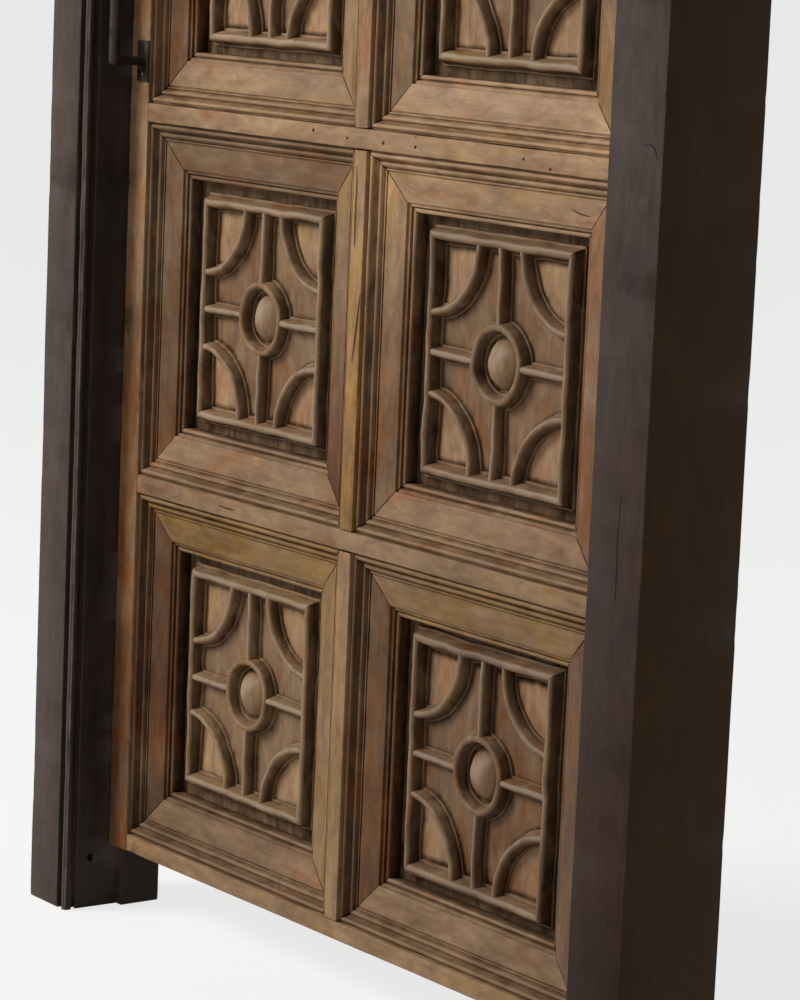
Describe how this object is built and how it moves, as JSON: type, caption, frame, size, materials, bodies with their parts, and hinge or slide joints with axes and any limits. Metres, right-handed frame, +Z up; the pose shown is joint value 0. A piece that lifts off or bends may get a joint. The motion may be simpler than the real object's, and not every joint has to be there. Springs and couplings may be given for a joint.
{
  "type": "panel door",
  "caption": "Carved wooden panel door with coffered panels and mitred mouldings, hung on iron hinges in a rebated timber frame, with a pull and a slide bolt.",
  "frame": {"origin": "on the floor, in the middle of the frame's width and depth", "axes": "+X to the right seen from the front, +Y towards the back, +Z up"},
  "size_m": [1.079, 0.123, 2.3175],
  "materials": {
    "door_wood": "old wax on hand-carved hardwood",
    "frame_wood": "dark worn stain",
    "iron": "blackened, forged"
  },
  "bodies": {
    "frame": {"left_jamb": "frame_wood", "right_jamb": "frame_wood", "head": "frame_wood", "hinge_frame_leaf_1": "iron", "hinge_frame_leaf_2": "iron", "hinge_frame_leaf_3": "iron", "hinge_pin_1": "iron", "hinge_pin_2": "iron", "hinge_pin_3": "iron", "hinge_frame_screws": "iron", "bolt_keep": "iron", "keep_screws": "iron"},
    "door": {"left_stile": "door_wood", "right_stile": "door_wood", "bottom_rail": "door_wood", "top_rail": "door_wood", "mid_rail_1": "door_wood", "mid_rail_2": "door_wood", "mid_rail_3": "door_wood", "mid_rail_4": "door_wood", "muntin_1": "door_wood", "muntin_2": "door_wood", "muntin_3": "door_wood", "muntin_4": "door_wood", "muntin_5": "door_wood", "panel_left_1": "door_wood", "panel_left_2": "door_wood", "panel_left_3": "door_wood", "panel_left_4": "door_wood", "panel_left_5": "door_wood", "panel_right_1": "door_wood", "panel_right_2": "door_wood", "panel_right_3": "door_wood", "panel_right_4": "door_wood", "panel_right_5": "door_wood", "moulding_left_1": "door_wood", "moulding_left_2": "door_wood", "moulding_left_3": "door_wood", "moulding_left_4": "door_wood", "moulding_left_5": "door_wood", "moulding_right_1": "door_wood", "moulding_right_2": "door_wood", "moulding_right_3": "door_wood", "moulding_right_4": "door_wood", "moulding_right_5": "door_wood", "hinge_door_leaf_1": "iron", "hinge_door_leaf_2": "iron", "hinge_door_leaf_3": "iron", "hinge_door_screws": "iron", "front_pull": "iron", "pull_screws": "iron", "bolt_plate": "iron", "bolt_screws": "iron"},
    "bolt": {"bolt_bar": "iron"}
  },
  "joints": [
    {"name": "door_swing", "type": "hinge", "parent": "frame", "child": "door", "pos_m": [0.454, -0.012, 0], "axis": [0, 0, 1], "range_deg": [0, 90]},
    {"name": "bolt_slide", "type": "slide", "parent": "door", "child": "bolt", "axis": [-1, 0, 0], "range_m": [0, 0.016]}
  ]
}
